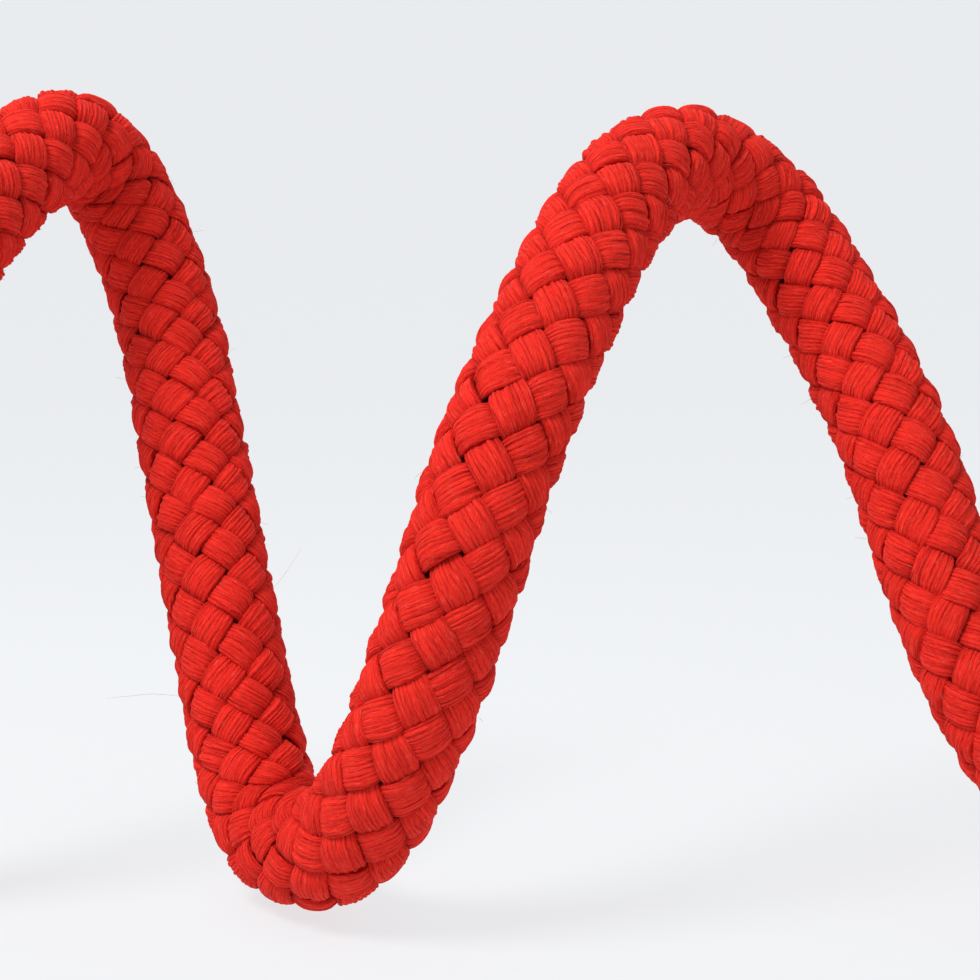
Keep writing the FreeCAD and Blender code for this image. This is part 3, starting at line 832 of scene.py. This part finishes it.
def make_whipping(material):
    """Waxed thread wound round the folded-back end."""
    radius = 0.5 * ROPE_D - THREAD_R - 0.02 * MM
    low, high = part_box("cut_end_whipping")
    a = np.linspace(0, WHIPPING_TURNS * 2 * math.pi, WHIPPING_TURNS * 40)
    x = np.linspace(low.x + THREAD_R, high.x - THREAD_R, len(a))
    y = PIVOT[1] - LEG_Y + radius * np.cos(a)
    z = EYE_HEIGHT + radius * np.sin(a)
    grid, lay = thin_tube(np.stack([x, y, z], 1), THREAD_R, 8)
    whip = new_piece("end_whipping", grid_mesh("end_whipping", [grid], [lay]), "rope", material)
    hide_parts("cut_end_whipping")


def make_sealed_end(material):
    """The melted face of the folded-back end."""
    angle = np.linspace(0, 2 * math.pi, 72, endpoint=False)
    uneven = waver(3 * angle, 5, 4, 1, 3)
    centre = place(CUT_END - 0.5 * MM, -LEG_Y, EYE_HEIGHT)
    profile = [(-1.5, 0.97), (-0.6, 0.98), (0.0, 0.95), (0.35, 0.85), (0.5, 0.6), (0.4, 0.3), (0.3, 0.02)]
    rings = []
    for x, share in profile:
        radius = 0.475 * ROPE_D * share * (1 + 0.01 * uneven)
        rings.append(np.stack([centre[0] + x * MM + 0.12 * MM * uneven, centre[1] + radius * np.cos(angle),
                               centre[2] + radius * np.sin(angle)], 1))
    mesh = grid_mesh("sealed_end", [np.array(rings)], [(60 * MM, 10 * MM)])
    end = new_piece("sealed_end", mesh, "rope", material)


def sealed_material():
    """Yarn melted to a dark, lumpy skin."""
    shader = Shader("melted_yarn")
    lumps = shader.noise(shader.object_place(), 900.0, 3.0)
    return shader.finish(Base_Color=shader.mix(lumps, MELT_DARK, MELT_BRIGHT), Roughness=0.42,
                         Normal=shader.bump(lumps, 0.8, 0.25 * MM))


def dress_metals():
    """Finishes for the CAD pieces that stay, with softened edges. It gives back the steel."""
    nickel = metal_material("nickel_plate", NICKEL, 0.20, 0.30, 0.25)
    steel = metal_material("zinc_plate", ZINC, 0.34, 0.45, 0.45)
    finishes = {"snap_body": nickel, "swivel_eye": nickel, "thumb_stud": nickel, "sliding_bolt": steel,
                "swivel_washer": steel, "bolt_spring": steel, "crimp_bands": steel}
    for name, material in finishes.items():
        node = frame["nodes"][name]
        node.data.materials.clear()
        node.data.materials.append(material)
    body = frame["nodes"]["snap_body"]
    remesh = body.modifiers.new("cast", "REMESH")
    remesh.mode, remesh.voxel_size, remesh.use_smooth_shade = "VOXEL", CAST_VOXEL, True
    soften = body.modifiers.new("blend", "SMOOTH")
    soften.factor, soften.iterations = 0.5, 8
    for name in ("crimp_bands", "sliding_bolt", "swivel_washer", "thumb_stud"):
        bevel = frame["nodes"][name].modifiers.new("edges", "BEVEL")
        bevel.width, bevel.segments, bevel.limit_method = EDGE_BEVEL, 3, "ANGLE"
        bevel.angle_limit = math.radians(40)
    return steel


def shorten_spring():
    """Gives the bolt's spring its own copy of its mesh; it is not shortened here."""
    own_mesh(frame["nodes"]["bolt_spring"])


# ---------------------------------------------------------------- floor and light

def make_floor():
    """A pale board, lit partly from within, that sweeps up far behind the object."""
    rows = [(y, 0.0) for y in (BOARD_FRONT, -1.0, 0.0, 1.0)]
    rows += [(COVE_START + COVE_R * math.sin(a), COVE_R - COVE_R * math.cos(a))
             for a in np.linspace(0, math.pi / 2, 12)]
    rows += [(COVE_START + COVE_R, WALL_TOP)]
    points = [(x, y, z) for y, z in rows for x in BOARD_SIDES]
    faces = [(2 * k, 2 * k + 1, 2 * k + 3, 2 * k + 2) for k in range(len(rows) - 1)]
    mesh = bpy.data.meshes.new("floor")
    mesh.from_pydata(points, [], faces)
    shader = Shader("pale_board")
    grain = shader.noise(shader.object_place(), 220.0, 4.0)
    board = shader.mix(grain, BOARD_DARK, BOARD_BRIGHT)
    mesh.materials.append(shader.finish(
        Base_Color=shader.mix(BOARD_SHADE, board, BLACK), Emission_Color=board, Emission_Strength=BOARD_GLOW,
        Roughness=0.9, Specular_IOR_Level=0.1))
    mesh.shade_smooth()
    floor = bpy.data.objects.new("floor", mesh)
    bpy.context.scene.collection.objects.link(floor)


def area_light(name, where, target, size, power):
    data = bpy.data.lights.new(name, "AREA")
    data.shape, data.size, data.energy = "DISK", size, power
    lamp = bpy.data.objects.new(name, data)
    lamp.location = where
    lamp.rotation_euler = (Vector(target) - Vector(where)).to_track_quat("-Z", "Y").to_euler()
    bpy.context.scene.collection.objects.link(lamp)


def make_light():
    """A white sky, and one soft lamp from the upper left."""
    world = bpy.data.worlds.new("studio")
    world.use_nodes = True
    background = next(n for n in world.node_tree.nodes if n.type == "BACKGROUND")
    background.inputs["Color"].default_value = (1.0, 1.0, 1.0, 1)
    background.inputs["Strength"].default_value = SKY_STRENGTH
    bpy.context.scene.world = world
    area_light("key", place(*KEY_AT), place(*KEY_AIM), KEY_SIZE, KEY_POWER)
    bpy.context.scene.view_settings.view_transform = "Standard"


def main():
    make_camera()
    make_light()
    make_floor()
    yarn, core = rope_material(), core_material()
    line, strands, inside = make_free_rope(yarn, core)
    make_fold(yarn, core)
    steel = dress_metals()
    shorten_spring()
    ties = make_ties(strap_material())
    cap = make_end_cap(steel)
    make_whipping(thread_material())
    make_sealed_end(sealed_material())
    fibres = make_stray_fibres(line, fibre_material())


main()
